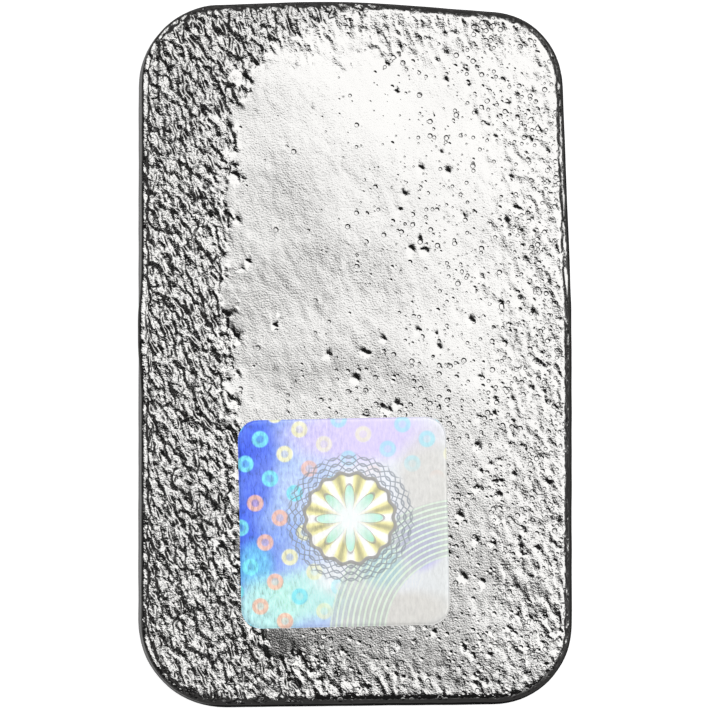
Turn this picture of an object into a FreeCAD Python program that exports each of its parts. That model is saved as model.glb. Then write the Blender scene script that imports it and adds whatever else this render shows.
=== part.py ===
"""Cast fine-silver bar, 250 g, lying on its poured side with a square foil label on its mould face.

The bar is one casting: an open mould gives it a slightly uneven rounded-rectangle plan, walls with
draft, a rounded shoulder round the mould face and a rounder foot where the metal met the air.
The label is a thin film that lies on the mould face near one end.

Frame, in millimetres: the origin is the middle of the bar's resting face, X runs across the bar,
Y along it, away from the labelled end, and Z up. The mould face looks up.
"""
import math
import os

import FreeCAD
import Part
from FreeCAD import Vector

# Driving dimensions, mm and degrees ---------------------------------------------------------

BAR_WIDTH = 42.3
BAR_LENGTH = 68.9
BAR_HEIGHT = 8.7

# How far the mould's plan is from a true rectangle.
LABEL_END_SKEW = 0.45        # the labelled end's right corner stands this much further in
FAR_END_LEFT_DROP = 0.75     # the far end falls from its crest by this much at the left corner
FAR_END_RIGHT_DROP = 1.6     # and by this much at the right corner
FAR_END_CREST_OFFSET = -1.4  # the crest's place across the bar
RIGHT_SIDE_LEAN = 1.1        # the right side leans in by this much towards the far end
RIGHT_SIDE_KNEE = 4.0        # where along the bar that lean begins

# Plan radii at the foot.
LABEL_END_LEFT_RADIUS = 8.4
LABEL_END_RIGHT_RADIUS = 7.8
FAR_END_LEFT_RADIUS = 8.0
FAR_END_RIGHT_RADIUS = 7.5
FAR_END_CREST_RADIUS = 90.0
RIGHT_SIDE_KNEE_RADIUS = 150.0

# Section through a wall.
DRAFT_ANGLE = 3.4
SHOULDER_RADIUS = 0.9
FOOT_RADIUS = 1.1

# The film label on the mould face.
LABEL_SIDE = 20.0
LABEL_CORNER_RADIUS = 1.9
LABEL_THICKNESS = 0.1
LABEL_TURN = 1.2             # turned this far, anticlockwise from above
LABEL_OFFSET_ACROSS = -1.2   # its middle, from the bar's middle
LABEL_INSET_ALONG = 8.15     # from the labelled end of the foot to the label's near edge


def plan_corners():
    """The plan's corners at the foot, anticlockwise from the label end's left one, each with its radius."""
    side = BAR_WIDTH / 2
    end = BAR_LENGTH / 2
    return [
        (Vector(-side, -end, 0), LABEL_END_LEFT_RADIUS),
        (Vector(side, -end + LABEL_END_SKEW, 0), LABEL_END_RIGHT_RADIUS),
        (Vector(side, RIGHT_SIDE_KNEE, 0), RIGHT_SIDE_KNEE_RADIUS),
        (Vector(side - RIGHT_SIDE_LEAN, end - FAR_END_RIGHT_DROP, 0), FAR_END_RIGHT_RADIUS),
        (Vector(FAR_END_CREST_OFFSET, end, 0), FAR_END_CREST_RADIUS),
        (Vector(-side, end - FAR_END_LEFT_DROP, 0), FAR_END_LEFT_RADIUS),
    ]


def inset_corners(corners, inset):
    """The same corners with every side moved in by inset and every radius smaller by it."""
    count = len(corners)
    moved = []
    for i in range(count):
        before, (here, radius), after = corners[i - 1][0], corners[i], corners[(i + 1) % count][0]
        along_in = (here - before).normalize()
        along_out = (after - here).normalize()
        inward_in = Vector(-along_in.y, along_in.x, 0)
        inward_out = Vector(-along_out.y, along_out.x, 0)
        bisector = (inward_in + inward_out).normalize()
        corner = here + bisector * (inset / bisector.dot(inward_in))
        moved.append((corner, radius - inset))
    return moved


def rounded_wire(corners, height):
    """A closed wire at that height: straight sides joined by an arc of each corner's radius."""
    count = len(corners)
    starts, middles, ends = [], [], []
    for i in range(count):
        before, (here, radius), after = corners[i - 1][0], corners[i], corners[(i + 1) % count][0]
        to_before = (before - here).normalize()
        to_after = (after - here).normalize()
        half_angle = to_before.getAngle(to_after) / 2
        bisector = (to_before + to_after).normalize()
        reach = radius / math.tan(half_angle)
        starts.append(here + to_before * reach)
        ends.append(here + to_after * reach)
        middles.append(here + bisector * (radius / math.sin(half_angle) - radius))
    lift = Vector(0, 0, height)
    edges = []
    for i in range(count):
        edges.append(Part.Arc(starts[i] + lift, middles[i] + lift, ends[i] + lift).toShape())
        following = starts[(i + 1) % count]
        edges.append(Part.LineSegment(ends[i] + lift, following + lift).toShape())
    return Part.Wire(edges)


def level_edges(solid, height):
    """The solid's edges that lie at one height."""
    return [
        edge for edge in solid.Edges
        if all(abs(vertex.Z - height) < 1e-6 for vertex in edge.Vertexes)
    ]


def plan_middle():
    """The middle of the foot's plan box, which becomes the origin."""
    box = rounded_wire(plan_corners(), 0).optimalBoundingBox(False, False)
    return Vector(box.Center.x, box.Center.y, 0)


def cast_bar():
    """The bar: a drafted block with its shoulder and its foot rounded."""
    corners = plan_corners()
    taper = BAR_HEIGHT * math.tan(math.radians(DRAFT_ANGLE))
    foot = rounded_wire(corners, 0)
    face = rounded_wire(inset_corners(corners, taper), BAR_HEIGHT)
    block = Part.makeLoft([foot, face], True, True)
    block = block.makeFillet(SHOULDER_RADIUS, level_edges(block, BAR_HEIGHT))
    block = block.makeFillet(FOOT_RADIUS, level_edges(block, 0)).Solids[0]
    block.translate(-plan_middle())
    return block


def foil_label():
    """The label: a thin square film with round corners, lying on the mould face."""
    half = LABEL_SIDE / 2
    signs = [(-1, -1), (1, -1), (1, 1), (-1, 1)]
    corners = [(Vector(half * sx, half * sy, 0), LABEL_CORNER_RADIUS) for sx, sy in signs]
    outline = Part.Face(rounded_wire(corners, 0))
    film = outline.extrude(Vector(0, 0, LABEL_THICKNESS))
    film.rotate(Vector(0, 0, 0), Vector(0, 0, 1), LABEL_TURN)
    along = -BAR_LENGTH / 2 + LABEL_INSET_ALONG + half
    film.translate(Vector(LABEL_OFFSET_ACROSS, along, BAR_HEIGHT) - plan_middle())
    return film


def main():
    """Writes one STEP file for each piece."""
    os.makedirs("parts", exist_ok=True)
    pieces = {"cast_bar": cast_bar(), "foil_label": foil_label()}
    for name, shape in pieces.items():
        shape.exportStep(f"parts/{name}.step")
        box = shape.optimalBoundingBox(False, False)
        print(
            name, shape.ShapeType, "valid", shape.isValid(), "solids", len(shape.Solids),
            "volume", round(shape.Volume, 1), "size",
            [round(length, 3) for length in (box.XLength, box.YLength, box.ZLength)],
            "middle", [round(value, 4) for value in box.Center],
        )


main()
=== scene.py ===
"""The visual model of a cast fine-silver bar with a square foil security label, and its studio.

The bar is the casting as it leaves an open mould: the mould face is up, with the mould's rough skin,
its gas pits and its calm middle. The label is a thin holographic film stuck on that face. Sizes are in
millimetres while a mesh is made, and a finished mesh is in metres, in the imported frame.
"""
import logging
import math
from dataclasses import dataclass, field
from enum import Enum
from typing import Any

import bmesh
import bpy
from mathutils import Matrix, Vector


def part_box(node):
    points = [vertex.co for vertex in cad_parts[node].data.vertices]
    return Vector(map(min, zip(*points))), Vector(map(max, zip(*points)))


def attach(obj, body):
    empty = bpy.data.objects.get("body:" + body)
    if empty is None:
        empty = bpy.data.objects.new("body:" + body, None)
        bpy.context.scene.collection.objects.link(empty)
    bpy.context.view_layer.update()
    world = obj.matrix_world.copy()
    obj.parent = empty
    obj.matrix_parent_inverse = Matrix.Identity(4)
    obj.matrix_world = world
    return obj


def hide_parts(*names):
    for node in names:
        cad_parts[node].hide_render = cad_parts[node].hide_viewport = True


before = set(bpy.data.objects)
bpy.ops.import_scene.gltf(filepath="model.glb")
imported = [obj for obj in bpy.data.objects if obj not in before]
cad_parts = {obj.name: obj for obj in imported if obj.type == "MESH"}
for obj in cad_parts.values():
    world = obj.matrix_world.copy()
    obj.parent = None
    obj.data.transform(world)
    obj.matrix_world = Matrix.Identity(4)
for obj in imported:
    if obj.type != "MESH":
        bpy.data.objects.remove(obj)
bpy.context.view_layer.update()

MM = 0.001

log = logging.getLogger("silver_bar")


# Colours and nodes --------------------------------------------------------------------------


def linear(code: str) -> tuple[float, float, float, float]:
    """Turns an sRGB hex colour into linear light.

    Args:
        code: The colour as six hex digits, such as "f2efe9".

    Returns:
        Red, green, blue and a full alpha, as a colour socket takes them.
    """
    channels = [int(code[i:i + 2], 16) / 255 for i in (0, 2, 4)]
    light = [c / 12.92 if c <= 0.04045 else ((c + 0.055) / 1.055) ** 2.4 for c in channels]
    return (light[0], light[1], light[2], 1.0)


def add(tree: bpy.types.NodeTree, kind: str, inputs: dict[int | str, Any] | None = None,
        **settings: Any) -> bpy.types.Node:
    """Adds a node with its settings, and sets or links its inputs.

    Args:
        tree: The tree that gets the node.
        kind: The node's type, such as "ShaderNodeMath".
        inputs: For each input, by number or name: a value, an output socket to link, or a node, whose
            first output is linked.
        **settings: The node's own settings.

    Returns:
        The new node.
    """
    node = tree.nodes.new(kind)
    for name, value in settings.items():
        setattr(node, name, value)
    for key, value in (inputs or {}).items():
        source = value.outputs[0] if isinstance(value, bpy.types.Node) else value
        if isinstance(source, bpy.types.NodeSocket):
            tree.links.new(source, node.inputs[key])
        else:
            node.inputs[key].default_value = source
    return node


def shape_ramp(node: bpy.types.Node, stops: list[tuple[float, str]]) -> None:
    """Gives a colour ramp its stops.

    Args:
        node: The colour ramp node.
        stops: Each stop's place, from 0 to 1, and its colour as sRGB hex.
    """
    elements = node.color_ramp.elements
    while len(elements) < len(stops):
        elements.new(0.5)
    for element, (place, code) in zip(elements, stops):
        element.position = place
        element.color = linear(code)


def shape_curve(node: bpy.types.Node, points: list[tuple[float, float]]) -> None:
    """Gives a float curve its points.

    Args:
        node: The float curve node.
        points: The points, both values from 0 to 1, in order.
    """
    curve = node.mapping.curves[0]
    for place, value in points[1:-1]:
        curve.points.new(place, value)
    curve.points[0].location = points[0]
    curve.points[-1].location = points[-1]
    node.mapping.update()


def new_group(name: str, sizes: dict[str, float | int]) -> bpy.types.NodeTree:
    """Starts a Geometry Nodes tree with a geometry input and named sizes.

    Args:
        name: The tree's name.
        sizes: Each named input and its default. A whole number makes an integer input.

    Returns:
        The tree, with its interface and no nodes.
    """
    tree = bpy.data.node_groups.new(name, "GeometryNodeTree")
    tree.interface.new_socket("Geometry", in_out="INPUT", socket_type="NodeSocketGeometry")
    tree.interface.new_socket("Geometry", in_out="OUTPUT", socket_type="NodeSocketGeometry")
    for label, value in sizes.items():
        kind = "NodeSocketInt" if isinstance(value, int) else "NodeSocketFloat"
        socket = tree.interface.new_socket(label, in_out="INPUT", socket_type=kind)
        socket.default_value = value
    return tree


def apply_tree(piece: bpy.types.Object, tree: bpy.types.NodeTree, sizes: dict[str, float | int]) -> None:
    """Puts a Geometry Nodes tree on a piece with its sizes set by socket identifier.

    Args:
        piece: The piece that gets the modifier.
        tree: The tree.
        sizes: Each named input and its value.
    """
    modifier = piece.modifiers.new(tree.name, "NODES")
    modifier.node_group = tree
    for item in tree.interface.items_tree:
        if item.item_type == "SOCKET" and item.in_out == "INPUT" and item.name in sizes:
            modifier[item.identifier] = sizes[item.name]


def plain_mesh(piece: bpy.types.Object) -> None:
    """Turns what a piece's modifiers give into its plain mesh, and removes them."""
    bpy.context.view_layer.update()
    graph = bpy.context.evaluated_depsgraph_get()
    made = bpy.data.meshes.new_from_object(piece.evaluated_get(graph))
    piece.modifiers.clear()
    old = piece.data
    piece.data = made
    made.name = piece.name
    bpy.data.meshes.remove(old)


# Finishes -----------------------------------------------------------------------------------


@dataclass(frozen=True)
class Pinholes:
    """One layer of pinholes in the silver's skin, in millimetres, with the share of them kept."""

    spacing: float
    floor_radius: float
    rim_radius: float
    depth: float
    keep: float


@dataclass(frozen=True)
class CastSilver:
    """Fine silver as cast: a bright bare metal whose skin is the print of the mould.

    To the eye it is a white, almost colourless mirror broken by grain, so that it swings between the
    light and the dark of the room within a millimetre.
    """

    colour: str = "faf9f7"
    dull_colour: str = "f0efed"
    wall_colour: str = "d4d3d1"
    # painted dark reflection for the shoulder and the steep sides of the lumps
    dark_reflection_colour: str = "504f4e"
    calm_roughness: float = 0.09
    rough_roughness: float = 0.15
    grain: float = 0.16          # mm, the mould coating's grain
    speckle: float = 0.32        # mm, the lumps between grains in the rough skin
    grain_height: float = 0.0016  # mm
    speckle_height: float = 0.017  # mm
    ripple: float = 5.0          # mm
    ripple_height: float = 0.035  # mm
    pinholes: tuple[Pinholes, ...] = (
        Pinholes(spacing=0.86, floor_radius=0.16, rim_radius=0.29, depth=0.040, keep=0.95),
        Pinholes(spacing=0.66, floor_radius=0.11, rim_radius=0.21, depth=0.032, keep=0.90),
        Pinholes(spacing=0.42, floor_radius=0.05, rim_radius=0.12, depth=0.022, keep=0.85),
    )

    def sink_pinholes(self, tree: bpy.types.NodeTree, place: bpy.types.Node, height: bpy.types.Node,
                      layer: Pinholes) -> bpy.types.Node:
        """Sinks a layer of pinholes: one in each cell of a scatter, kept by a random draw.

        Args:
            tree: The silver's tree.
            place: The place on the bar, in metres.
            height: The relief so far, in metres.
            layer: The layer. Its share is kept where the bar is most pitted.

        Returns:
            The relief with the pinholes in it.
        """
        pitting = add(tree, "ShaderNodeAttribute", attribute_name="pitting").outputs["Fac"]
        cells = add(tree, "ShaderNodeTexVoronoi", {
            "Vector": place, "Scale": 1 / (layer.spacing * MM), "Randomness": 1.0,
        })
        draw = add(tree, "ShaderNodeSeparateXYZ", {0: cells.outputs["Color"]}).outputs[0]
        share = add(tree, "ShaderNodeMath", {0: pitting, 1: layer.keep}, operation="MULTIPLY")
        chosen = add(tree, "ShaderNodeMath", {0: draw, 1: share}, operation="LESS_THAN")
        bowl = add(tree, "ShaderNodeMapRange", {
            "Value": cells.outputs["Distance"],
            "From Min": layer.floor_radius / layer.spacing, "From Max": layer.rim_radius / layer.spacing,
            "To Min": -layer.depth * MM, "To Max": 0.0,
        }, interpolation_type="SMOOTHSTEP")
        return add(tree, "ShaderNodeMath", {0: bowl, 1: chosen, 2: height}, operation="MULTIPLY_ADD")

    def material(self) -> bpy.types.Material:
        """Builds the material.

        Returns:
            The material, which reads Object coordinates and the bar's "skin" attribute.
        """
        material = bpy.data.materials.new("cast_fine_silver")
        material.use_nodes = True
        tree = material.node_tree
        tree.nodes.clear()
        place = add(tree, "ShaderNodeTexCoord").outputs["Object"]
        skin = add(tree, "ShaderNodeAttribute", attribute_name="skin").outputs["Fac"]
        # The height of the skin's finest relief, in metres.
        grain = add(tree, "ShaderNodeTexNoise", {
            "Vector": place, "Scale": 1 / (self.grain * MM), "Detail": 1.0, "Roughness": 0.6,
        }, normalize=False)
        speckle = add(tree, "ShaderNodeTexNoise", {
            "Vector": place, "Scale": 1 / (self.speckle * MM), "Detail": 2.0, "Roughness": 0.6,
        }, normalize=False)
        grain_amount = add(tree, "ShaderNodeMapRange", {
            "Value": skin, "From Min": 0.0, "From Max": 1.0,
            "To Min": self.grain_height * MM, "To Max": 3.0 * self.grain_height * MM,
        })
        grain_height = add(tree, "ShaderNodeMath", {0: grain, 1: grain_amount}, operation="MULTIPLY")
        speckle_amount = add(tree, "ShaderNodeMath", {
            0: skin, 1: self.speckle_height * MM,
        }, operation="MULTIPLY")
        height = add(tree, "ShaderNodeMath", {
            0: speckle, 1: speckle_amount, 2: grain_height,
        }, operation="MULTIPLY_ADD")
        # Walls: faint level ripples where the metal chilled as it rose in the mould.
        surface = add(tree, "ShaderNodeNewGeometry")
        facing = add(tree, "ShaderNodeSeparateXYZ", {0: surface.outputs["Normal"]})
        on_wall = add(tree, "ShaderNodeMapRange", {
            "Value": facing.outputs[2], "From Min": 0.6, "From Max": 0.2,
        })
        level = add(tree, "ShaderNodeVectorMath", {0: place, 1: (1.0, 1.0, 7.0)}, operation="MULTIPLY")
        ripples = add(tree, "ShaderNodeTexNoise", {
            "Vector": level, "Scale": 1 / (self.ripple * MM), "Detail": 3.0, "Roughness": 0.55,
        }, normalize=False)
        ripple_amount = add(tree, "ShaderNodeMath", {
            0: on_wall, 1: self.ripple_height * MM,
        }, operation="MULTIPLY")
        height = add(tree, "ShaderNodeMath", {
            0: ripples, 1: ripple_amount, 2: height,
        }, operation="MULTIPLY_ADD")
        for layer in self.pinholes:
            height = self.sink_pinholes(tree, place, height, layer)
        bump = add(tree, "ShaderNodeBump", {"Strength": 1.0, "Distance": 1.0, "Height": height})
        roughness = add(tree, "ShaderNodeMapRange", {
            "Value": skin, "To Min": self.calm_roughness, "To Max": self.rough_roughness,
        })
        tarnish = add(tree, "ShaderNodeTexNoise", {
            "Vector": place, "Scale": 1 / (9 * MM), "Detail": 3.0, "Roughness": 0.55,
        })
        colour = add(tree, "ShaderNodeMix", {
            0: tarnish, 6: linear(self.colour), 7: linear(self.dull_colour),
        }, data_type="RGBA")
        # Painted dark reflection: the shoulder and the steep sides of the lumps are coloured near black,
        # by how steeply they face, in place of the dark they would reflect.
        undarkened_until = add(tree, "ShaderNodeMath", {0: skin, 1: 0.027, 2: 0.955}, operation="MULTIPLY_ADD")
        black_from = add(tree, "ShaderNodeMath", {0: skin, 1: 0.035, 2: 0.84}, operation="MULTIPLY_ADD")
        steep = add(tree, "ShaderNodeMapRange", {
            "Value": facing.outputs[2], "From Min": undarkened_until, "From Max": black_from,
        }, interpolation_type="SMOOTHSTEP")
        not_wall = add(tree, "ShaderNodeMapRange", {
            "Value": facing.outputs[2], "From Min": 0.16, "From Max": 0.42,
        }, interpolation_type="SMOOTHSTEP")
        painted_dark_mask = add(tree, "ShaderNodeMath", {0: steep, 1: not_wall}, operation="MULTIPLY")
        walled = add(tree, "ShaderNodeMix", {
            0: on_wall, 6: colour.outputs[2], 7: linear(self.wall_colour),
        }, data_type="RGBA")
        darkened_colour = add(tree, "ShaderNodeMix", {
            0: painted_dark_mask, 6: walled.outputs[2], 7: linear(self.dark_reflection_colour),
        }, data_type="RGBA")
        shader = add(tree, "ShaderNodeBsdfPrincipled", {
            "Base Color": darkened_colour.outputs[2], "Metallic": 1.0, "Roughness": roughness, "Normal": bump,
        })
        add(tree, "ShaderNodeOutputMaterial", {"Surface": shader})
        return material


class Tint(Enum):
    """The film's diffraction colours, as sRGB hex."""

    ROYAL = "1f45ee"
    LAVENDER = "dccffb"
    PALE = "f6f8fb"
    STRAW = "fbf8c4"
    APRICOT = "fbc7ae"
    AQUA = "84ecfb"
    MINT = "c9fbee"
    VIOLET = "b0a8f4"
    SILVER = "dddbd6"
    LINE = "8f96a0"


@dataclass(frozen=True)
class HologramFilm:
    """Holographic polyester film: vacuum-metallised, embossed with diffraction gratings, and glossy.

    To the eye it is pale silver that breaks into blue, lavender, mint and straw patches, with small
    rings in rows, a petalled rosette in the middle and fine guilloche lines round it.
    """

    side: float = 20.0           # mm
    ring_pitch: float = 2.75     # mm between the small rings
    ring_radius: float = 0.86    # mm
    lattice_turn: float = 32.0   # degrees
    rosette_radius: float = 4.3  # mm
    rosette_lobes: float = 16.0
    rays: float = 12.0
    line_pitch: float = 0.52     # mm between the arcs of the fine-line corner
    skin_print: float = 0.0045   # mm, how far the silver's skin shows through
    roughness: float = 0.20

    def patch(self, tree: bpy.types.NodeTree, under: bpy.types.NodeSocket, place: bpy.types.Node,
              middle: tuple[float, float], reach: tuple[float, float], tint: Tint,
              strength: float) -> bpy.types.NodeSocket:
        """Lays a soft-edged oval of colour over what is there.

        Args:
            tree: The film's tree.
            under: The colour so far.
            place: The place on the film, in millimetres from its middle.
            middle: The oval's middle.
            reach: Its half width and half height.
            tint: Its colour.
            strength: How much of the colour its middle gets.

        Returns:
            The colour with the oval on it.
        """
        offset = add(tree, "ShaderNodeVectorMath", {
            0: place, 1: (middle[0], middle[1], 0.0),
        }, operation="SUBTRACT")
        scaled = add(tree, "ShaderNodeVectorMath", {
            0: offset, 1: (reach[0], reach[1], 1.0),
        }, operation="DIVIDE")
        away = add(tree, "ShaderNodeVectorMath", {0: scaled}, operation="LENGTH").outputs["Value"]
        mask = add(tree, "ShaderNodeMapRange", {
            "Value": away, "From Min": 0.45, "From Max": 1.05, "To Min": strength, "To Max": 0.0,
        }, interpolation_type="SMOOTHSTEP")
        return add(tree, "ShaderNodeMix", {
            0: mask, 6: under, 7: linear(tint.value),
        }, data_type="RGBA").outputs[2]

    def colour_field(self, tree: bpy.types.NodeTree, place: bpy.types.Node) -> bpy.types.NodeSocket:
        """Adds the broad diffraction colours.

        Args:
            tree: The film's tree.
            place: The place on the film, in millimetres from its middle.

        Returns:
            The colour.
        """
        drift = add(tree, "ShaderNodeTexNoise", {
            "Vector": place, "Scale": 1 / 6.0, "Detail": 1.0,
        }, normalize=False)
        split = add(tree, "ShaderNodeSeparateXYZ", {0: place})
        wavy = add(tree, "ShaderNodeMath", {
            0: drift, 1: 3.0, 2: split.outputs[0],
        }, operation="MULTIPLY_ADD")
        across = add(tree, "ShaderNodeMapRange", {"Value": wavy, "From Min": -10.0, "From Max": 10.0})
        ramp = add(tree, "ShaderNodeValToRGB", {0: across})
        shape_ramp(ramp, [
            (0.0, "5577f4"), (0.12, "86a6f9"), (0.26, "b4cdfc"), (0.44, "d9e5fd"),
            (0.58, "eff2fc"), (0.78, "ebeff5"), (1.0, "e4e7e7"),
        ])
        colour = ramp.outputs[0]
        patches = [
            ((1.5, 8.4), (9.0, 3.4), Tint.LAVENDER, 0.85),
            ((-8.3, 5.6), (2.4, 5.6), Tint.ROYAL, 0.5),
            ((8.0, 3.5), (3.6, 6.0), Tint.SILVER, 0.8),
            ((-3.5, -6.8), (5.0, 3.0), Tint.MINT, 0.8),
            ((0.5, -5.2), (4.5, 2.4), Tint.PALE, 0.9),
            ((3.6, -4.3), (2.6, 2.6), Tint.AQUA, 0.75),
            ((7.2, -2.2), (2.7, 3.0), Tint.VIOLET, 0.85),
            ((5.5, -8.6), (6.5, 2.6), Tint.SILVER, 0.95),
            ((-8.6, -4.2), (2.2, 3.2), Tint.AQUA, 0.55),
            ((-7.4, -8.0), (4.4, 3.6), Tint.MINT, 0.85),
        ]
        for middle, reach, tint, strength in patches:
            colour = self.patch(tree, colour, place, middle, reach, tint, strength)
        return colour

    def rings(self, tree: bpy.types.NodeTree, under: bpy.types.NodeSocket,
              place: bpy.types.Node) -> bpy.types.NodeSocket:
        """Lays rows of small tinted rings over the left and the top of the film.

        Args:
            tree: The film's tree.
            under: The colour so far.
            place: The place on the film, in millimetres from its middle.

        Returns:
            The colour with the rings on it.
        """
        turned = add(tree, "ShaderNodeVectorRotate", {
            "Vector": place, "Angle": math.radians(self.lattice_turn),
        }, rotation_type="Z_AXIS")
        half = self.ring_pitch / 2
        local = add(tree, "ShaderNodeVectorMath", {
            0: turned, 1: (half, half, 1.0), 2: (-half, -half, -1.0),
        }, operation="WRAP")
        cell = add(tree, "ShaderNodeVectorMath", {0: turned, 1: local}, operation="SUBTRACT")
        draw = add(tree, "ShaderNodeTexWhiteNoise", {
            "Vector": cell,
        }, noise_dimensions="3D").outputs["Value"]
        away = add(tree, "ShaderNodeVectorMath", {0: local}, operation="LENGTH").outputs["Value"]
        disc = add(tree, "ShaderNodeMapRange", {
            "Value": away, "From Min": self.ring_radius, "From Max": self.ring_radius - 0.14,
        })
        hole = add(tree, "ShaderNodeMapRange", {
            "Value": away, "From Min": self.ring_radius * 0.34, "From Max": self.ring_radius * 0.5,
            "To Min": 0.45, "To Max": 1.0,
        })
        tint = add(tree, "ShaderNodeValToRGB", {0: draw})
        tint.color_ramp.interpolation = "CONSTANT"
        shape_ramp(tint, [(0.0, Tint.STRAW.value), (0.4, Tint.APRICOT.value), (0.62, Tint.AQUA.value)])
        split = add(tree, "ShaderNodeSeparateXYZ", {0: place})
        left = add(tree, "ShaderNodeMapRange", {
            "Value": split.outputs[0], "From Min": -4.5, "From Max": 2.0, "To Min": 0.85, "To Max": 0.0,
        })
        top = add(tree, "ShaderNodeMapRange", {
            "Value": split.outputs[1], "From Min": 4.0, "From Max": 7.0, "To Min": 0.0, "To Max": 0.5,
        })
        zone = add(tree, "ShaderNodeMath", {0: left, 1: top}, operation="MAXIMUM")
        ring = add(tree, "ShaderNodeMath", {0: disc, 1: hole}, operation="MULTIPLY")
        mask = add(tree, "ShaderNodeMath", {0: ring, 1: zone}, operation="MULTIPLY")
        return add(tree, "ShaderNodeMix", {
            0: mask, 6: under, 7: tint.outputs[0],
        }, data_type="RGBA").outputs[2]

    def rosette(self, tree: bpy.types.NodeTree, under: bpy.types.NodeSocket,
                place: bpy.types.Node) -> tuple[bpy.types.NodeSocket, bpy.types.NodeSocket]:
        """Lays the rayed rosette with its petals, rims and guilloche on the middle.

        Args:
            tree: The film's tree.
            under: The colour so far.
            place: The place on the film, in millimetres from its middle.

        Returns:
            The colour with the rosette on it, and its raised lines from 0 to 1.
        """
        centred = add(tree, "ShaderNodeVectorMath", {0: place, 1: (0.6, 0.4, 0.0)}, operation="SUBTRACT")
        split = add(tree, "ShaderNodeSeparateXYZ", {0: centred})
        away = add(tree, "ShaderNodeVectorMath", {0: centred}, operation="LENGTH").outputs["Value"]
        angle = add(tree, "ShaderNodeMath", {
            0: split.outputs[1], 1: split.outputs[0],
        }, operation="ARCTAN2")

        def wave(turns: float) -> bpy.types.Node:
            """A cosine round the middle with that many turns."""
            phase = add(tree, "ShaderNodeMath", {0: angle, 1: turns}, operation="MULTIPLY")
            return add(tree, "ShaderNodeMath", {0: phase}, operation="COSINE")

        radius = self.rosette_radius
        lobes = wave(self.rosette_lobes)
        # Guilloche: two families of waved rings that cross each other.
        lines = None
        for sign in (0.42, -0.42):
            waved = add(tree, "ShaderNodeMath", {
                0: wave(12.0), 1: sign, 2: away,
            }, operation="MULTIPLY_ADD")
            phase = add(tree, "ShaderNodeMath", {0: waved, 1: 2 * math.pi / 0.62}, operation="MULTIPLY")
            crest = add(tree, "ShaderNodeMath", {0: phase}, operation="COSINE")
            line = add(tree, "ShaderNodeMapRange", {"Value": crest, "From Min": 0.45, "From Max": 0.95})
            lines = line if lines is None else add(tree, "ShaderNodeMath", {
                0: lines, 1: line,
            }, operation="MAXIMUM")
        outer = add(tree, "ShaderNodeMapRange", {
            "Value": away, "From Min": radius + 2.1, "From Max": radius + 1.6, "To Max": 0.8,
        })
        guilloche = add(tree, "ShaderNodeMath", {0: lines, 1: outer}, operation="MULTIPLY")
        colour = add(tree, "ShaderNodeMix", {
            0: guilloche, 6: under, 7: linear(Tint.LINE.value),
        }, data_type="RGBA").outputs[2]
        # The field of rays.
        edge = add(tree, "ShaderNodeMath", {0: lobes, 1: 0.14, 2: away}, operation="MULTIPLY_ADD")
        inside = add(tree, "ShaderNodeMapRange", {"Value": edge, "From Min": radius + 0.05,
                                                  "From Max": radius - 0.05})
        burst = add(tree, "ShaderNodeMapRange", {"Value": wave(self.rays), "From Min": -1.0})
        field = add(tree, "ShaderNodeValToRGB", {0: burst})
        shape_ramp(field, [
            (0.0, "c3bf97"), (0.28, "efe9ae"), (0.55, Tint.STRAW.value), (0.85, "ffffff"),
        ])
        core = add(tree, "ShaderNodeMapRange", {"Value": away, "From Min": 2.6, "From Max": 0.8})
        glow = add(tree, "ShaderNodeMix", {
            0: core, 6: field.outputs[0], 7: linear("ffffff"),
        }, data_type="RGBA").outputs[2]
        # Eight petals, mint at their tips.
        petal_wave = add(tree, "ShaderNodeMath", {0: wave(4.0)}, operation="ABSOLUTE")
        petal_edge = add(tree, "ShaderNodeMath", {
            0: petal_wave, 1: -3.3, 2: away,
        }, operation="MULTIPLY_ADD")
        petal = add(tree, "ShaderNodeMapRange", {"Value": petal_edge, "From Min": 0.0, "From Max": -0.25})
        petal_tint = add(tree, "ShaderNodeMapRange", {"Value": away, "From Min": 0.9, "From Max": 3.2})
        petal_colour = add(tree, "ShaderNodeMix", {
            0: petal_tint, 6: linear("f6fffd"), 7: linear("a8efd9"),
        }, data_type="RGBA").outputs[2]
        petal_share = add(tree, "ShaderNodeMath", {0: petal, 1: 0.85}, operation="MULTIPLY")
        inner = add(tree, "ShaderNodeMix", {
            0: petal_share, 6: glow, 7: petal_colour,
        }, data_type="RGBA").outputs[2]
        colour = add(tree, "ShaderNodeMix", {0: inside, 6: colour, 7: inner}, data_type="RGBA").outputs[2]
        # Rims: the scalloped edge, and the petals' outlines.
        from_edge = add(tree, "ShaderNodeMath", {0: edge, 1: radius}, operation="SUBTRACT")
        edge_gap = add(tree, "ShaderNodeMath", {0: from_edge}, operation="ABSOLUTE")
        rim = add(tree, "ShaderNodeMapRange", {"Value": edge_gap, "From Min": 0.24, "From Max": 0.12})
        petal_gap = add(tree, "ShaderNodeMath", {0: petal_edge}, operation="ABSOLUTE")
        petal_rim = add(tree, "ShaderNodeMapRange", {
            "Value": petal_gap, "From Min": 0.16, "From Max": 0.06, "To Max": 0.7,
        })
        within = add(tree, "ShaderNodeMapRange", {"Value": away, "From Min": 0.5, "From Max": 1.1})
        petal_line = add(tree, "ShaderNodeMath", {0: petal_rim, 1: within}, operation="MULTIPLY")
        raised = add(tree, "ShaderNodeMath", {0: rim, 1: petal_line}, operation="MAXIMUM")
        colour = add(tree, "ShaderNodeMix", {
            0: raised, 6: colour, 7: linear("a7a6a4"),
        }, data_type="RGBA").outputs[2]
        return colour, raised.outputs[0]

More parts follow.
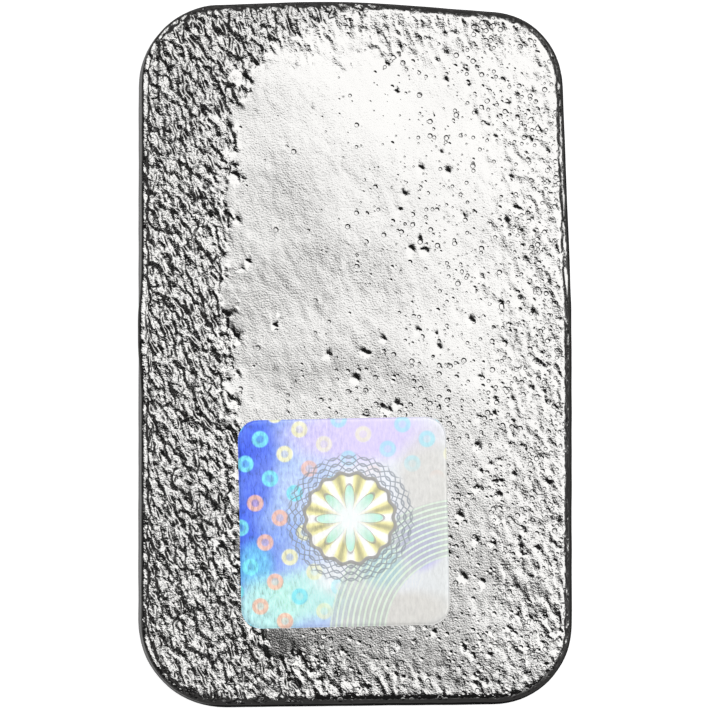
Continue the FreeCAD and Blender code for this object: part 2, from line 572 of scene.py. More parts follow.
    def fine_lines(self, tree: bpy.types.NodeTree, under: bpy.types.NodeSocket,
                   place: bpy.types.Node) -> bpy.types.NodeSocket:
        """Lays fine pale arcs round the right lower corner.

        Args:
            tree: The film's tree.
            under: The colour so far.
            place: The place on the film, in millimetres from its middle.

        Returns:
            The colour with the arcs on it.
        """
        corner = add(tree, "ShaderNodeVectorMath", {
            0: place, 1: (11.5, -11.0, 0.0),
        }, operation="SUBTRACT")
        away = add(tree, "ShaderNodeVectorMath", {0: corner}, operation="LENGTH").outputs["Value"]
        phase = add(tree, "ShaderNodeMath", {
            0: away, 1: 2 * math.pi / self.line_pitch,
        }, operation="MULTIPLY")
        crest = add(tree, "ShaderNodeMath", {0: phase}, operation="COSINE")
        line = add(tree, "ShaderNodeMapRange", {"Value": crest, "From Min": 0.1, "From Max": 0.9})
        near = add(tree, "ShaderNodeMapRange", {"Value": away, "From Min": 13.2, "From Max": 12.9})
        far = add(tree, "ShaderNodeMapRange", {"Value": away, "From Min": 7.6, "From Max": 7.9})
        band = add(tree, "ShaderNodeMath", {0: near, 1: far}, operation="MULTIPLY")
        ground_share = add(tree, "ShaderNodeMath", {0: band, 1: 0.7}, operation="MULTIPLY")
        ground = add(tree, "ShaderNodeMix", {
            0: ground_share, 6: under, 7: linear("c2c8c6"),
        }, data_type="RGBA").outputs[2]
        mask = add(tree, "ShaderNodeMath", {0: line, 1: band}, operation="MULTIPLY")
        share = add(tree, "ShaderNodeMath", {0: mask, 1: 0.85}, operation="MULTIPLY")
        return add(tree, "ShaderNodeMix", {
            0: share, 6: ground, 7: linear("eafbe6"),
        }, data_type="RGBA").outputs[2]

    def material(self) -> bpy.types.Material:
        """Builds the material, which reads the film's own UV map.

        Returns:
            The material.
        """
        material = bpy.data.materials.new("hologram_film")
        material.use_nodes = True
        tree = material.node_tree
        tree.nodes.clear()
        chart = add(tree, "ShaderNodeUVMap", uv_map="film")
        place = add(tree, "ShaderNodeVectorMath", {
            0: chart, 1: (self.side, self.side, 0.0), 2: (-self.side / 2, -self.side / 2, 0.0),
        }, operation="MULTIPLY_ADD")
        colour = self.colour_field(tree, place)
        colour = self.rings(tree, colour, place)
        colour = self.fine_lines(tree, colour, place)
        colour, raised = self.rosette(tree, colour, place)
        # Upright streaks where the rough skin shows through, strongest down the left side: a bump, and
        # painted light and shade of the streaks multiplied into the film's colour.
        streak_place = add(tree, "ShaderNodeVectorMath", {
            0: place, 1: (3.6, 1.1, 1.0),
        }, operation="MULTIPLY")
        streaks = add(tree, "ShaderNodeTexNoise", {
            "Vector": streak_place, "Scale": 1.0, "Detail": 3.0, "Roughness": 0.7,
        }, normalize=False)
        split = add(tree, "ShaderNodeSeparateXYZ", {0: place})
        left = add(tree, "ShaderNodeMapRange", {
            "Value": split.outputs[0], "From Min": -9.5, "From Max": 1.0, "To Min": 1.0, "To Max": 0.22,
        })
        streak_light = add(tree, "ShaderNodeMath", {0: streaks, 1: left}, operation="MULTIPLY")
        # painted light and shade of the streaks, multiplied into the colour
        painted_streak_shade = add(tree, "ShaderNodeMath", {0: streak_light, 1: 0.4, 2: 1.0}, operation="MULTIPLY_ADD")
        streak_shaded_colour = add(tree, "ShaderNodeVectorMath", {0: colour, "Scale": painted_streak_shade}, operation="SCALE")
        printed = add(tree, "ShaderNodeMath", {
            0: streak_light, 1: self.skin_print * MM,
        }, operation="MULTIPLY")
        height = add(tree, "ShaderNodeMath", {
            0: raised, 1: 0.012 * MM, 2: printed,
        }, operation="MULTIPLY_ADD")
        bump = add(tree, "ShaderNodeBump", {"Strength": 1.0, "Distance": 1.0, "Height": height})
        # Emission in the film's own colours: painted light that makes the film glow though it is no lamp.
        shader = add(tree, "ShaderNodeBsdfPrincipled", {
            "Base Color": streak_shaded_colour, "Metallic": 0.35, "Roughness": self.roughness, "IOR": 1.57,
            "Coat Weight": 0.4, "Coat Roughness": 0.06, "Normal": bump,
            "Emission Color": streak_shaded_colour, "Emission Strength": 0.58,
        })
        add(tree, "ShaderNodeOutputMaterial", {"Surface": shader})
        return material


# The bar ------------------------------------------------------------------------------------


@dataclass(frozen=True)
class GasPits:
    """One size of gas pit in the casting: how thickly they lie, their diameters in mm and their bowl."""

    per_mm2: float
    smallest: float
    largest: float
    depth: float                 # as a share of a pit's radius
    floor: float                 # how much of the radius is flat floor
    seed: int                    # added to the tree's seed


@dataclass
class CastBar:
    """The silver casting, remade from its CAD solid with the skin the mould and the metal gave it."""

    voxel: float = 0.1           # mm
    triangles: int = 196_000
    lump_length: float = 1.15
    lump_width: float = 0.60
    lump_lean: float = -15.0     # degrees the lumps' long way is turned from the bar's length
    lump_height: float = 0.20
    calm_share: float = 0.035    # how much of the lumps the calmest skin keeps
    swell: float = 0.10          # mm, the mould face's broad unevenness
    camber: float = 0.00035      # mm of fall for each mm squared from the bar's middle line
    edge_lean: float = 0.0035    # the same, from where the left edge begins to fall away
    wall_relief: float = 0.03    # mm
    freeze_ring: float = 4.6     # mm between the rings on the poured side
    freeze_height: float = 0.018  # mm
    blow_pits: GasPits = GasPits(0.018, smallest=0.7, largest=1.0, depth=0.09, floor=0.45, seed=11)
    small_pits: GasPits = GasPits(0.22, smallest=0.50, largest=0.78, depth=0.105, floor=0.42, seed=23)
    finish: CastSilver = field(default_factory=CastSilver)

    def sizes(self) -> dict[str, float | int]:
        """The skin tree's named inputs, in millimetres and degrees."""
        low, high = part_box("cast_bar")
        film_low, film_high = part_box("foil_label")
        return {
            "Half Width": (high[0] - low[0]) / 2 / MM,
            "Half Length": (high[1] - low[1]) / 2 / MM,
            "Lump Length": self.lump_length,
            "Lump Width": self.lump_width,
            "Lump Lean": self.lump_lean,
            "Lump Height": self.lump_height,
            "Film X": (film_low[0] + film_high[0]) / 2 / MM,
            "Film Y": (film_low[1] + film_high[1]) / 2 / MM,
            "Film Half": 10.1,
            "Lip Place": 2.0,
            "Lip Reach": 6.5,
            "Lip Height": 0.32,
            "Seed": 7,
        }

    def pit_field(self, tree: bpy.types.NodeTree, named: dict[str, bpy.types.NodeSocket],
                  at: bpy.types.NodeSocket, share: bpy.types.NodeSocket,
                  pits: GasPits) -> bpy.types.NodeSocket:
        """Adds a layer of scattered gas pits to the skin tree.

        Args:
            tree: The skin tree.
            named: The tree's named inputs.
            at: The place on the face, with no height, where the depth is asked for.
            share: How much of the layer's density a place gets, from 0 to 1.
            pits: The pits' size and number.

        Returns:
            The socket of the depth, in millimetres, positive in a pit.
        """
        width = add(tree, "ShaderNodeMath", {0: named["Half Width"], 1: 2.0}, operation="MULTIPLY")
        length = add(tree, "ShaderNodeMath", {0: named["Half Length"], 1: 2.0}, operation="MULTIPLY")
        sheet = add(tree, "GeometryNodeMeshGrid", {
            "Size X": width, "Size Y": length, "Vertices X": 85, "Vertices Y": 138,
        })
        spread = add(tree, "FunctionNodeRandomValue", {
            2: pits.smallest / 2, 3: pits.largest / 2, "Seed": pits.seed,
        }, data_type="FLOAT").outputs[1]
        number = add(tree, "ShaderNodeMath", {0: named["Seed"], 1: float(pits.seed)}, operation="ADD")
        density = add(tree, "ShaderNodeMath", {0: share, 1: pits.per_mm2}, operation="MULTIPLY")
        scatter = add(tree, "GeometryNodeDistributePointsOnFaces", {
            "Mesh": sheet, "Density": density, "Seed": number,
        })
        nearest = add(tree, "GeometryNodeSampleNearest", {"Geometry": scatter, "Sample Position": at})
        centre = add(tree, "GeometryNodeSampleIndex", {
            "Geometry": scatter, "Value": add(tree, "GeometryNodeInputPosition"), "Index": nearest,
        }, data_type="FLOAT_VECTOR")
        radius = add(tree, "GeometryNodeSampleIndex", {
            "Geometry": scatter, "Value": spread, "Index": nearest,
        }, data_type="FLOAT")
        away = add(tree, "ShaderNodeVectorMath", {
            0: at, 1: centre,
        }, operation="DISTANCE").outputs["Value"]
        ratio = add(tree, "ShaderNodeMath", {0: away, 1: radius}, operation="DIVIDE")
        wall = add(tree, "ShaderNodeMapRange", {
            "Value": ratio, "From Min": pits.floor, "From Max": 1.0, "To Min": 1.0, "To Max": 0.0,
        }, interpolation_type="SMOOTHSTEP")
        deep = add(tree, "ShaderNodeMath", {0: radius, 1: pits.depth}, operation="MULTIPLY")
        return add(tree, "ShaderNodeMath", {0: wall, 1: deep}, operation="MULTIPLY").outputs[0]

    def rough_share(self, tree: bpy.types.NodeTree, position: bpy.types.Node, x: bpy.types.NodeSocket,
                    y: bpy.types.NodeSocket) -> bpy.types.Node:
        """Adds how rough the face's skin is.

        Args:
            tree: The skin tree.
            position: The place on the bar, in millimetres.
            x: Its part across the bar.
            y: Its part along the bar.

        Returns:
            The share, from 0 to 1.
        """
        # A ragged wander for every border between rough and calm skin.
        wander = add(tree, "ShaderNodeTexNoise", {
            "Vector": position, "Scale": 1 / 2.2, "Detail": 2.0, "Roughness": 0.6,
        }, normalize=False)
        ragged_x = add(tree, "ShaderNodeMath", {0: wander, 1: 2.6, 2: x}, operation="MULTIPLY_ADD")
        ragged_y = add(tree, "ShaderNodeMath", {0: wander, 1: 2.6, 2: y}, operation="MULTIPLY_ADD")

        # The chilled band down the left side, wider at both ends.
        along = add(tree, "ShaderNodeMapRange", {
            "Value": y, "From Min": -34.3, "From Max": 34.3,
        })
        band_edge = add(tree, "ShaderNodeFloatCurve", {"Value": along})
        shape_curve(band_edge, [
            (0.0, 0.42), (0.06, 0.34), (0.12, 0.24), (0.2, 0.20), (0.5, 0.19), (0.72, 0.18),
            (0.84, 0.20), (0.92, 0.27), (0.96, 0.42), (1.0, 0.62),
        ])
        edge_x = add(tree, "ShaderNodeMapRange", {"Value": band_edge, "To Min": -20.0, "To Max": 20.0})
        inside = add(tree, "ShaderNodeMath", {0: edge_x, 1: ragged_x}, operation="SUBTRACT")
        band = add(tree, "ShaderNodeMapRange", {
            "Value": inside, "From Min": -0.9, "From Max": 0.9,
        }, interpolation_type="SMOOTHSTEP")

        # Milder roughness towards the right side, and along both ends.
        right = add(tree, "ShaderNodeMapRange", {
            "Value": ragged_x, "From Min": 10.0, "From Max": 20.0, "To Max": 0.24,
        })
        near_end = add(tree, "ShaderNodeMapRange", {
            "Value": ragged_y, "From Min": -27.5, "From Max": -33.5, "To Max": 0.42,
        })
        far_end = add(tree, "ShaderNodeMapRange", {
            "Value": ragged_y, "From Min": 27.0, "From Max": 32.0, "To Max": 0.42,
        })
        easing = add(tree, "ShaderNodeMapRange", {
            "Value": ragged_x, "From Min": -6.0, "From Max": 4.0, "To Min": 1.0, "To Max": 0.45,
        })
        near_eased = add(tree, "ShaderNodeMath", {0: near_end, 1: easing}, operation="MULTIPLY")
        ends = add(tree, "ShaderNodeMath", {0: near_eased, 1: far_end}, operation="MAXIMUM")
        milder = add(tree, "ShaderNodeMath", {0: right, 1: ends}, operation="MAXIMUM")
        strongest = add(tree, "ShaderNodeMath", {0: band, 1: milder}, operation="MAXIMUM")
        return add(tree, "ShaderNodeMath", {0: strongest, 1: self.calm_share}, operation="MAXIMUM")

    def outside_film(self, tree: bpy.types.NodeTree, named: dict[str, bpy.types.NodeSocket],
                     x: bpy.types.NodeSocket, y: bpy.types.NodeSocket) -> bpy.types.Node:
        """Adds how far a place lies outside the film's square, in millimetres, negative under it.

        Args:
            tree: The skin tree.
            named: The tree's named inputs.
            x: The place across the bar.
            y: The place along the bar.

        Returns:
            The distance.
        """
        film_x = add(tree, "ShaderNodeMath", {0: x, 1: named["Film X"]}, operation="SUBTRACT")
        film_y = add(tree, "ShaderNodeMath", {0: y, 1: named["Film Y"]}, operation="SUBTRACT")
        from_x = add(tree, "ShaderNodeMath", {0: film_x}, operation="ABSOLUTE")
        from_y = add(tree, "ShaderNodeMath", {0: film_y}, operation="ABSOLUTE")
        reach = add(tree, "ShaderNodeMath", {0: from_x, 1: from_y}, operation="MAXIMUM")
        return add(tree, "ShaderNodeMath", {0: reach, 1: named["Film Half"]}, operation="SUBTRACT")

    def lumps(self, tree: bpy.types.NodeTree, named: dict[str, bpy.types.NodeSocket],
              position: bpy.types.Node) -> bpy.types.Node:
        """Adds the lumps of chilled skin: longer one way, and leaning the way the metal ran.

        Args:
            tree: The skin tree.
            named: The tree's named inputs.
            position: The place on the bar, in millimetres.

        Returns:
            Their height where the skin is roughest, in millimetres.
        """
        turn = add(tree, "ShaderNodeMath", {0: named["Lump Lean"]}, operation="RADIANS")
        turned = add(tree, "ShaderNodeVectorRotate", {"Vector": position, "Angle": turn},
                     rotation_type="Z_AXIS")
        long_scale = add(tree, "ShaderNodeMath", {0: 1.0, 1: named["Lump Length"]}, operation="DIVIDE")
        wide_scale = add(tree, "ShaderNodeMath", {0: 1.0, 1: named["Lump Width"]}, operation="DIVIDE")
        stretch = add(tree, "ShaderNodeCombineXYZ", {0: wide_scale, 1: long_scale, 2: wide_scale})
        lump_place = add(tree, "ShaderNodeVectorMath", {0: turned, 1: stretch}, operation="MULTIPLY")
        lumps = add(tree, "ShaderNodeTexNoise", {
            "Vector": lump_place, "Scale": 1.0, "Detail": 1.0, "Roughness": 0.45, "Distortion": 0.3,
        }, normalize=False)
        return add(tree, "ShaderNodeMath", {0: lumps, 1: named["Lump Height"]}, operation="MULTIPLY")

    def gas_pits(self, tree: bpy.types.NodeTree, named: dict[str, bpy.types.NodeSocket],
                 position: bpy.types.Node, x: bpy.types.NodeSocket,
                 y: bpy.types.NodeSocket) -> tuple[bpy.types.NodeSocket, bpy.types.Node]:
        """Adds the gas pits, in two sizes. The finest pinholes are in the finish.

        Args:
            tree: The skin tree.
            named: The tree's named inputs.
            position: The place on the bar, in millimetres.
            x: Its part across the bar.
            y: Its part along the bar.

        Returns:
            How pitted the place is, from 0 to 1, and the pits' depth in millimetres.
        """
        flat = add(tree, "ShaderNodeCombineXYZ", {0: x, 1: y, 2: 0.0})
        warp = add(tree, "ShaderNodeTexNoise", {
            "Vector": position, "Scale": 1 / 0.5, "Detail": 0.0,
        }, normalize=False).outputs["Color"]
        bent = add(tree, "ShaderNodeVectorMath", {0: warp, 1: (0.14, 0.14, 0.0), 2: flat},
                   operation="MULTIPLY_ADD").outputs[0]
        to_right = add(tree, "ShaderNodeMapRange", {
            "Value": x, "From Min": -4.0, "From Max": 19.0, "To Min": 0.05, "To Max": 1.0,
        })
        to_near = add(tree, "ShaderNodeMapRange", {
            "Value": y, "From Min": 6.0, "From Max": -30.0, "To Min": 0.0, "To Max": 0.6,
        })
        clump = add(tree, "ShaderNodeTexNoise", {
            "Vector": flat, "Scale": 1 / 5.0, "Detail": 1.0,
        })
        patchy = add(tree, "ShaderNodeMapRange", {
            "Value": clump, "From Min": 0.35, "From Max": 0.65, "To Min": 0.25, "To Max": 1.0,
        })
        share_sum = add(tree, "ShaderNodeMath", {0: to_right, 1: to_near}, operation="ADD")
        share = add(tree, "ShaderNodeMath", {0: share_sum, 1: patchy}, operation="MULTIPLY",
                    use_clamp=True).outputs[0]
        blow = self.pit_field(tree, named, bent, share, self.blow_pits)
        small = self.pit_field(tree, named, bent, share, self.small_pits)
        return share, add(tree, "ShaderNodeMath", {0: blow, 1: small}, operation="MAXIMUM")

    def off_face(self, tree: bpy.types.NodeTree, named: dict[str, bpy.types.NodeSocket],
                 position: bpy.types.Node, facing: bpy.types.Node, face: bpy.types.Node,
                 under: bpy.types.Node) -> bpy.types.Node:
        """Adds the relief of the walls and of the poured side.

        Args:
            tree: The skin tree.
            named: The tree's named inputs.
            position: The place on the bar, in millimetres.
            facing: The normal, split.
            face: How much the place belongs to the mould face.
            under: How much it belongs to the poured side.

        Returns:
            How far the skin stands out, in millimetres.
        """
        spot = add(tree, "ShaderNodeSeparateXYZ", {0: position})
        # Walls: a faint, broad unevenness.
        wall_noise = add(tree, "ShaderNodeTexNoise", {
            "Vector": position, "Scale": 1 / 2.6, "Detail": 0.0,
        }, normalize=False)
        wall_share = add(tree, "ShaderNodeMath", {0: face, 1: under}, operation="ADD")
        wall_left = add(tree, "ShaderNodeMath", {0: 1.0, 1: wall_share}, operation="SUBTRACT")
        wall_part = add(tree, "ShaderNodeMath", {
            0: wall_noise, 1: self.wall_relief,
        }, operation="MULTIPLY")
        wall_move = add(tree, "ShaderNodeMath", {0: wall_part, 1: wall_left}, operation="MULTIPLY")
        # A lip where the metal swelled over the mould's edge, on the left side.
        leftward = add(tree, "ShaderNodeMapRange", {
            "Value": facing.outputs[0], "From Min": -0.35, "From Max": -0.9,
        }, interpolation_type="SMOOTHSTEP")
        upper = add(tree, "ShaderNodeMapRange", {
            "Value": spot.outputs[2], "From Min": 4.5, "From Max": 7.8,
        }, interpolation_type="SMOOTHSTEP")
        from_lip = add(tree, "ShaderNodeMath", {
            0: spot.outputs[1], 1: named["Lip Place"],
        }, operation="SUBTRACT")
        lip_gap = add(tree, "ShaderNodeMath", {0: from_lip}, operation="ABSOLUTE")
        lip_size = add(tree, "ShaderNodeMapRange", {
            "Value": lip_gap, "From Min": 0.5, "From Max": named["Lip Reach"],
            "To Min": named["Lip Height"], "To Max": 0.0,
        }, interpolation_type="SMOOTHSTEP")
        lip_side = add(tree, "ShaderNodeMath", {0: leftward, 1: upper}, operation="MULTIPLY")
        lip = add(tree, "ShaderNodeMath", {
            0: lip_size, 1: lip_side, 2: wall_move,
        }, operation="MULTIPLY_ADD")
        # The poured side froze in rings.
        ring_warp = add(tree, "ShaderNodeTexNoise", {
            "Vector": position, "Scale": 1 / 9.0, "Detail": 1.0,
        }, normalize=False)
        oval = add(tree, "ShaderNodeVectorMath", {0: position, 1: (1.6, 1.0, 0.0)}, operation="MULTIPLY")
        from_middle = add(tree, "ShaderNodeVectorMath", {0: oval}, operation="LENGTH").outputs["Value"]
        warped = add(tree, "ShaderNodeMath", {
            0: ring_warp, 1: 5.0, 2: from_middle,
        }, operation="MULTIPLY_ADD")
        turns = add(tree, "ShaderNodeMath", {
            0: warped, 1: 2 * math.pi / self.freeze_ring,
        }, operation="MULTIPLY")
        rings = add(tree, "ShaderNodeMath", {0: turns}, operation="COSINE")
        ring_part = add(tree, "ShaderNodeMath", {
            0: rings, 1: self.freeze_height, 2: -0.02,
        }, operation="MULTIPLY_ADD")
        return add(tree, "ShaderNodeMath", {0: ring_part, 1: under, 2: lip}, operation="MULTIPLY_ADD")

    def skin_tree(self) -> bpy.types.NodeTree:
        """Builds the tree that gives the casting its skin.

        Returns:
            The tree. It moves every point along its normal, and keeps how rough the skin is as "skin"
            and how pitted it is as "pitting".
        """
        tree = new_group("mould_skin", self.sizes())
        entry = tree.nodes.new("NodeGroupInput")
        named = {socket.name: socket for socket in entry.outputs}
        position = add(tree, "GeometryNodeInputPosition")
        normal = add(tree, "GeometryNodeInputNormal")
        spot = add(tree, "ShaderNodeSeparateXYZ", {0: position})
        x, y = spot.outputs[:2]
        facing = add(tree, "ShaderNodeSeparateXYZ", {0: normal})
        up = facing.outputs[2]
        face = add(tree, "ShaderNodeMapRange", {
            "Value": up, "From Min": 0.35, "From Max": 0.85,
        }, interpolation_type="SMOOTHSTEP")
        under = add(tree, "ShaderNodeMapRange", {
            "Value": up, "From Min": -0.6, "From Max": -0.95,
        }, interpolation_type="SMOOTHSTEP")

        rough = self.rough_share(tree, position, x, y)
        outside = self.outside_film(tree, named, x, y)
        # The skin under the film is pressed calm.
        open_skin = add(tree, "ShaderNodeMapRange", {
            "Value": outside, "From Min": -0.6, "From Max": 0.1, "To Min": 0.0, "To Max": 1.0,
        }, interpolation_type="SMOOTHSTEP")
        lump_part = self.lumps(tree, named, position)
        relief = add(tree, "ShaderNodeMath", {0: lump_part, 1: rough}, operation="MULTIPLY")

        # Broad unevenness of the mould face.
        broad = add(tree, "ShaderNodeTexNoise", {
            "Vector": position, "Scale": 1 / 14.0, "Detail": 1.0, "Roughness": 0.4,
        }, normalize=False)
        swell = add(tree, "ShaderNodeMath", {0: broad, 1: self.swell}, operation="MULTIPLY")
        share, all_pits = self.gas_pits(tree, named, position, x, y)

        # The face's whole relief, with its tops at the CAD face.
        sunk = add(tree, "ShaderNodeMath", {0: relief, 1: all_pits}, operation="SUBTRACT")
        across = add(tree, "ShaderNodeMath", {0: x, 1: x}, operation="MULTIPLY")
        camber = add(tree, "ShaderNodeMath", {
            0: across, 1: -self.camber, 2: swell,
        }, operation="MULTIPLY_ADD")
        past = add(tree, "ShaderNodeMapRange", {
            "Value": x, "From Min": -13.5, "From Max": -20.5, "To Min": 0.0, "To Max": 7.0,
        })
        past_squared = add(tree, "ShaderNodeMath", {0: past, 1: past}, operation="MULTIPLY")
        leaning = add(tree, "ShaderNodeMath", {
            0: past_squared, 1: -self.edge_lean, 2: camber,
        }, operation="MULTIPLY_ADD")
        off_film = add(tree, "ShaderNodeMapRange", {
            "Value": outside, "From Min": -0.6, "From Max": 5.0,
        }, interpolation_type="SMOOTHSTEP")
        rolling = add(tree, "ShaderNodeMath", {
            0: leaning, 1: off_film, 2: sunk,
        }, operation="MULTIPLY_ADD")
        tops = add(tree, "ShaderNodeMath", {0: rough, 1: -0.03, 2: -0.03}, operation="MULTIPLY_ADD")
        lowered = add(tree, "ShaderNodeMath", {0: rolling, 1: tops}, operation="ADD")
        capped = add(tree, "ShaderNodeMath", {0: lowered, 1: 0.04}, operation="MINIMUM")
        held = add(tree, "ShaderNodeMath", {0: capped, 1: open_skin}, operation="MULTIPLY")
        pressed = add(tree, "ShaderNodeMapRange", {"Value": open_skin, "To Min": -0.03, "To Max": 0.0})
        on_face = add(tree, "ShaderNodeMath", {0: held, 1: pressed}, operation="ADD")
        face_move = add(tree, "ShaderNodeMath", {0: on_face, 1: face}, operation="MULTIPLY")

        elsewhere = self.off_face(tree, named, position, facing, face, under)
        move = add(tree, "ShaderNodeMath", {0: face_move, 1: elsewhere}, operation="ADD")

        skin = add(tree, "ShaderNodeMath", {0: rough, 1: face}, operation="MULTIPLY")
        kept = add(tree, "GeometryNodeStoreNamedAttribute", {
            "Geometry": named["Geometry"], "Name": "skin", "Value": skin,
        }, data_type="FLOAT", domain="POINT")
        pitting = add(tree, "ShaderNodeMath", {0: share, 1: face}, operation="MULTIPLY")
        marked = add(tree, "GeometryNodeStoreNamedAttribute", {
            "Geometry": kept, "Name": "pitting", "Value": pitting,
        }, data_type="FLOAT", domain="POINT")
        offset = add(tree, "ShaderNodeVectorMath", {0: normal, "Scale": move}, operation="SCALE")
        moved = add(tree, "GeometryNodeSetPosition", {"Geometry": marked, "Offset": offset})
        real = add(tree, "GeometryNodeRealizeInstances", {0: moved})
        dressed = add(tree, "GeometryNodeSetMaterial", {
            "Geometry": real, "Material": bpy.data.materials["cast_fine_silver"],
        })
        add(tree, "NodeGroupOutput", {0: dressed})
        return tree

    def build(self) -> bpy.types.Object:
        """Builds the bar.

        Returns:
            The finished bar, riding on the body.
        """
        self.finish.material()
        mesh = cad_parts["cast_bar"].data.copy()
        mesh.materials.clear()
        work = bmesh.new()
        work.from_mesh(mesh)
        bmesh.ops.remove_doubles(work, verts=work.verts, dist=1e-6)
        work.to_mesh(mesh)
        work.free()
        mesh.transform(Matrix.Scale(1 / MM, 4))
        bar = bpy.data.objects.new("silver_bar", mesh)
        bpy.context.scene.collection.objects.link(bar)
        remesh = bar.modifiers.new("even_skin", "REMESH")
        remesh.mode = "VOXEL"
        remesh.voxel_size = self.voxel * 1.0
        remesh.use_smooth_shade = True
        plain_mesh(bar)
        log.info("remeshed %d", len(bar.data.polygons))
        apply_tree(bar, self.skin_tree(), self.sizes())
        plain_mesh(bar)
        log.info("skin %d", len(bar.data.polygons))
        thin = bar.modifiers.new("thin", "DECIMATE")
        thin.ratio = min(1.0, self.triangles / (2 * len(bar.data.polygons)))
        thin.use_collapse_triangulate = True
        plain_mesh(bar)
        bar.data.transform(Matrix.Scale(MM, 4))
        for polygon in bar.data.polygons:
            polygon.use_smooth = True
        log.info("silver_bar: %d triangles, %s", len(bar.data.polygons), list(bar.data.attributes.keys()))
        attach(bar, "root")
        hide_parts("cast_bar")
        return bar


# The label ----------------------------------------------------------------------------------


@dataclass
class FoilLabel:
    """The security film: a thin square with round corners, stuck on the mould face."""

    corner: float = 1.9
    turn: float = 1.2
    thickness: float = 0.07
    rings: int = 48
    finish: HologramFilm = field(default_factory=HologramFilm)

    def outline(self, per_side: int = 24, per_corner: int = 8) -> list[Vector]:
        """The film's outline round its own middle.

        Args:
            per_side: Steps along each straight side.
            per_corner: Steps round each corner.

        Returns:
            The points, anticlockwise from the right side's lower end.
        """
        half = self.finish.side / 2
        straight = half - self.corner
        points = []
        for quarter in range(4):
            spin = Matrix.Rotation(quarter * math.pi / 2, 2)
            for i in range(per_side):
                points.append(spin @ Vector((half, -straight + 2 * straight * i / per_side)))
            for i in range(per_corner):
                angle = math.pi / 2 * i / per_corner
                reach = Vector((math.cos(angle), math.sin(angle))) * self.corner
                points.append(spin @ (Vector((straight, straight)) + reach))
        return points

    def build(self) -> bpy.types.Object:
        """Builds the film.

        Returns:
            The finished film, riding on the body.
        """
        low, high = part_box("foil_label")
        middle = Vector(((low[0] + high[0]) / 2, (low[1] + high[1]) / 2)) / MM
        base = low[2] / MM
        spin = Matrix.Rotation(math.radians(self.turn), 2)
        outline = self.outline()
        count = len(outline)
        work = bmesh.new()
        uv = work.loops.layers.uv.new("film")

        def vertex(point: Vector, height: float) -> bmesh.types.BMVert:
            """Adds a vertex at a place on the film's own plan."""
            at = spin @ point + middle
            return work.verts.new((at.x * MM, at.y * MM, (base + height) * MM))

        plan: dict[bmesh.types.BMVert, Vector] = {}
        top_rings = []
        for ring in range(1, self.rings + 1):
            share = ring / self.rings
            height = self.thickness if ring < self.rings else self.thickness - 0.015
            made = []
            for point in outline:
                spot = point * share
                corner = vertex(spot, height)
                plan[corner] = spot
                made.append(corner)
            top_rings.append(made)
        pole = vertex(Vector((0.0, 0.0)), self.thickness)
        plan[pole] = Vector((0.0, 0.0))
        foot = []
        for point in outline:
            corner = vertex(point, 0.0)
            plan[corner] = point
            foot.append(corner)
        for i in range(count):
            following = (i + 1) % count
            work.faces.new((pole, top_rings[0][i], top_rings[0][following]))
            for inner, outer in zip(top_rings, top_rings[1:]):
                work.faces.new((inner[i], outer[i], outer[following], inner[following]))
            work.faces.new((top_rings[-1][i], foot[i], foot[following], top_rings[-1][following]))
        work.faces.new(list(reversed(foot)))
        for face in work.faces:
            face.smooth = True
            for loop in face.loops:
                spot = plan[loop.vert]
                loop[uv].uv = (spot.x / self.finish.side + 0.5, spot.y / self.finish.side + 0.5)
        mesh = bpy.data.meshes.new("security_film")
        work.to_mesh(mesh)
        work.free()
        mesh.materials.append(self.finish.material())
        film = bpy.data.objects.new("security_film", mesh)
        bpy.context.scene.collection.objects.link(film)
        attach(film, "root")
        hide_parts("foil_label")
        return film


# The studio ---------------------------------------------------------------------------------


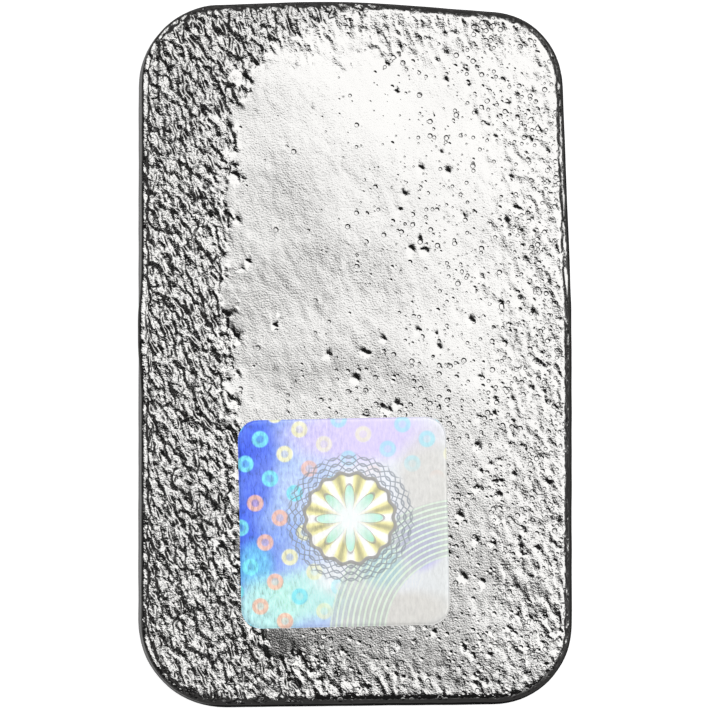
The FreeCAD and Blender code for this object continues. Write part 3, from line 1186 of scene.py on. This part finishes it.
@dataclass
class Studio:
    """A pale lit table under a big soft light that stops just past the bar on its left and near side."""

    bright_way: float = 60.0     # degrees anticlockwise from X, where the soft light lies
    edge_start: float = -3.5     # degrees from straight up, where its soft edge begins
    edge_end: float = 2.9
    light: float = 1.36
    dark: float = 0.012
    wall: float = 0.55
    table_light: float = 0.80
    table_shade: float = 0.55
    left_glow: float = 0.30
    table_glow: float = 0.86

    def world(self) -> None:
        """Builds the soft light and the dim room as the world."""
        world = bpy.data.worlds.new("studio")
        bpy.context.scene.world = world
        world.use_nodes = True
        tree = world.node_tree
        tree.nodes.clear()
        way = add(tree, "ShaderNodeTexCoord").outputs["Generated"]
        split = add(tree, "ShaderNodeSeparateXYZ", {0: way})
        heading = math.radians(self.bright_way)
        towards = add(tree, "ShaderNodeVectorMath", {
            0: way, 1: (math.cos(heading), math.sin(heading), 0.0),
        }, operation="DOT_PRODUCT").outputs["Value"]
        high = add(tree, "ShaderNodeMath", {0: split.outputs[2], 1: 0.05}, operation="MAXIMUM")
        slope = add(tree, "ShaderNodeMath", {0: towards, 1: high}, operation="DIVIDE")
        soft = add(tree, "ShaderNodeMapRange", {
            "Value": slope,
            "From Min": math.tan(math.radians(self.edge_start)),
            "From Max": math.tan(math.radians(self.edge_end)),
            "To Min": self.dark, "To Max": self.light,
        }, interpolation_type="SMOOTHSTEP")
        # The room's walls, pale low down all round.
        low_wall = add(tree, "ShaderNodeMapRange", {
            "Value": split.outputs[2], "From Min": 0.60, "From Max": 0.46,
            "To Min": self.dark, "To Max": self.wall,
        }, interpolation_type="SMOOTHSTEP")
        # The soft light's far edge.
        reach = add(tree, "ShaderNodeMapRange", {
            "Value": split.outputs[2], "From Min": 0.66, "From Max": 0.82,
        }, interpolation_type="SMOOTHSTEP")
        box = add(tree, "ShaderNodeMath", {0: soft, 1: reach}, operation="MULTIPLY")
        sky = add(tree, "ShaderNodeMath", {0: box, 1: low_wall}, operation="MAXIMUM")
        # Below the table's plane only a reflection sees this: pale near the horizon, most on the left
        # and far side, and dark straight down but for a dim glow left of the bar.
        far_left = add(tree, "ShaderNodeVectorMath", {
            0: way, 1: (-0.8, 0.6, 0.0),
        }, operation="DOT_PRODUCT")
        table_light = add(tree, "ShaderNodeMapRange", {
            "Value": far_left.outputs["Value"], "From Min": -0.6, "From Max": 0.7,
            "To Min": self.table_shade, "To Max": self.table_light,
        })
        straight_down = add(tree, "ShaderNodeMapRange", {
            "Value": split.outputs[0], "From Min": -0.04, "From Max": -0.09,
            "To Min": self.dark, "To Max": self.left_glow,
        }, interpolation_type="SMOOTHSTEP")
        below = add(tree, "ShaderNodeMapRange", {
            "Value": split.outputs[2], "From Min": -0.50, "From Max": -0.75,
            "To Min": table_light, "To Max": straight_down,
        }, interpolation_type="SMOOTHSTEP")
        is_up = add(tree, "ShaderNodeMath", {0: split.outputs[2], 1: 0.0}, operation="GREATER_THAN")
        strength = add(tree, "ShaderNodeMix", {0: is_up, 2: below, 3: sky}, data_type="FLOAT")
        background = add(tree, "ShaderNodeBackground", {"Strength": strength.outputs[0]})
        add(tree, "ShaderNodeOutputWorld", {0: background})

    def table(self) -> bpy.types.Object:
        """Builds the pale table.

        Returns:
            The table.
        """
        mesh = bpy.data.meshes.new("table")
        half = 3.0
        mesh.from_pydata([(-half, -half, 0), (half, -half, 0), (half, half, 0), (-half, half, 0)], [],
                         [(0, 1, 2, 3)])
        mesh.transform(Matrix.Translation((0, 0, -0.00002)))
        material = bpy.data.materials.new("matt_white_table")
        material.use_nodes = True
        tree = material.node_tree
        tree.nodes.clear()
        shader = add(tree, "ShaderNodeBsdfPrincipled", {
            "Base Color": linear("f4f4f4"), "Roughness": 0.9,
            "Emission Color": linear("ffffff"), "Emission Strength": self.table_glow,
        })
        add(tree, "ShaderNodeOutputMaterial", {0: shader})
        mesh.materials.append(material)
        table = bpy.data.objects.new("table", mesh)
        bpy.context.scene.collection.objects.link(table)
        table.visible_glossy = False
        return table

    def camera(self) -> bpy.types.Object:
        """Builds the camera: overhead, a little to the left and to the near side.

        Returns:
            The camera, which is also the scene's.
        """
        lens = bpy.data.cameras.new("camera")
        lens.sensor_width = 36.0
        away = 0.6
        frame_width = 0.0692
        lens.lens = 36.0 * away / frame_width
        lens.clip_start = 0.05
        lens.clip_end = 10.0
        camera = bpy.data.objects.new("camera", lens)
        camera.location = (-away * math.sin(math.radians(0.8)), -away * math.sin(math.radians(1.2)), away)
        back = camera.location.normalized()
        right = Vector((0.0, 1.0, 0.0)).cross(back).normalized()
        over = back.cross(right)
        camera.rotation_euler = Matrix((right, over, back)).transposed().to_euler()
        bpy.context.scene.collection.objects.link(camera)
        bpy.context.scene.camera = camera
        return camera

    def build(self) -> None:
        """Builds the room, the table and the camera, and sets how light becomes picture tones."""
        self.world()
        self.table()
        self.camera()
        view = bpy.context.scene.view_settings
        view.view_transform = "Standard"
        view.look = "None"


def main() -> None:
    """Builds the bar, its label and the studio, and keeps the two boxes."""
    logging.basicConfig(level=logging.INFO, format="%(message)s")
    Studio().build()
    for maker in (CastBar(), FoilLabel()):
        piece = maker.build()
        log.info("%s: %d faces", piece.name, len(piece.data.polygons))


if __name__ == "__main__":
    main()
